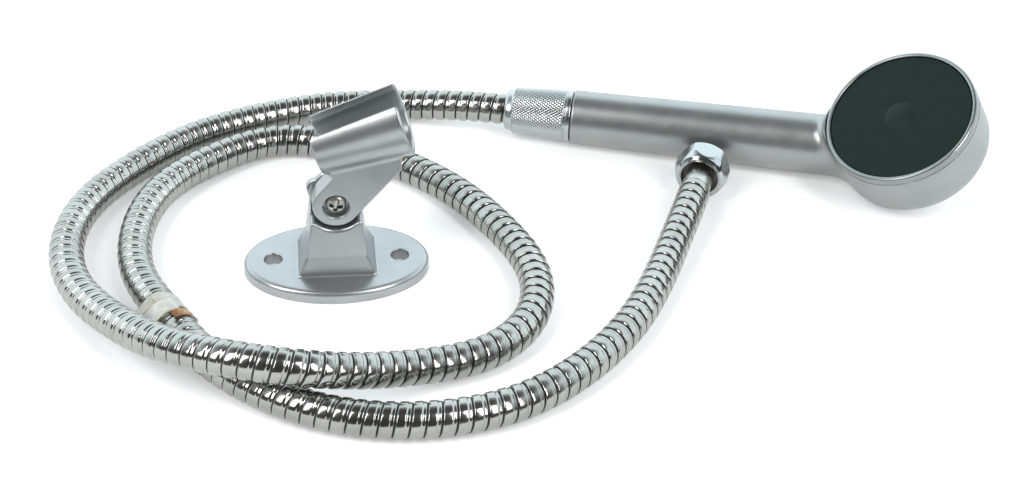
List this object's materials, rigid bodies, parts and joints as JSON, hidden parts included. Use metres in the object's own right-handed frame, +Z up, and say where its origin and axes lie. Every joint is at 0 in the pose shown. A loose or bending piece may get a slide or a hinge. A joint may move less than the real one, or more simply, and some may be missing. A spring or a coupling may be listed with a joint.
{
  "type": "handheld bath sprayer",
  "caption": "Round-headed handheld bath sprayer on a straight handle, with a stripwound metal hose in loose loops, a hexagon coupling nut and a tilting oval-plate wall holder.",
  "frame": {"origin": "on the table, under the middle of the box round the sprayer and its wall holder, without the hose", "axes": "+Z up from the table, +X from the holder towards the spray head along the sprayer's handle, +Y from the holder towards the handle"},
  "size_m": [0.3961, 0.2308, 0.083],
  "materials": {
    "satin_silver": "satin",
    "polished_rim": "satin bright",
    "spray_face": "matt",
    "polished_chrome": "polished",
    "hose_steel": "polished",
    "cast_silver": "satin silver",
    "screw_steel": "plain",
    "brass": "turned",
    "black_rubber": "matt",
    "inner_plastic": "moulded",
    "clear_wrap": "clear, thin"
  },
  "bodies": {
    "sprayer": {"handset_body": "satin_silver", "face_bezel": "polished_rim", "spray_face": "spray_face", "centre_cap": "spray_face", "face_screw": "screw_steel", "face_seal": "black_rubber", "water_distributor": "inner_plastic", "water_tube": "inner_plastic", "inlet_fitting": "brass", "inlet_washer": "black_rubber", "handset_hose_tail": "brass", "hose": "hose_steel", "hose_tie": "clear_wrap", "hex_ferrule": "polished_chrome", "hex_hose_tail": "brass", "hex_washer": "black_rubber"},
    "knurled_nut": {"knurled_nut": "polished_chrome"},
    "hex_nut": {"hex_nut": "polished_chrome"},
    "holder_base": {"wall_base": "cast_silver", "pivot_screw": "screw_steel", "pivot_washer": "inner_plastic", "pivot_nut": "screw_steel"},
    "holder_arm": {"holder_arm": "cast_silver"}
  },
  "joints": [
    {"name": "knurled_nut_turn", "type": "hinge", "parent": "sprayer", "child": "knurled_nut", "pos_m": [-0.0234, 0.0592, 0.01245], "axis": [0.9907, -0.1357, 0.014], "continuous": true},
    {"name": "hex_nut_turn", "type": "hinge", "parent": "sprayer", "child": "hex_nut", "pos_m": [0.0323, 0.0142, 0.012], "axis": [0.2504, 0.9681, 0], "continuous": true},
    {"name": "holder_apart", "type": "slide", "parent": "sprayer", "child": "holder_base", "axis": [0, 0, 1], "range_m": [0, 0.05]},
    {"name": "holder_tilt", "type": "hinge", "parent": "holder_base", "child": "holder_arm", "pos_m": [-0.1203, -0.0482, 0.0374], "axis": [-0.1478, 0.989, 0], "range_deg": [-70, 30]}
  ]
}
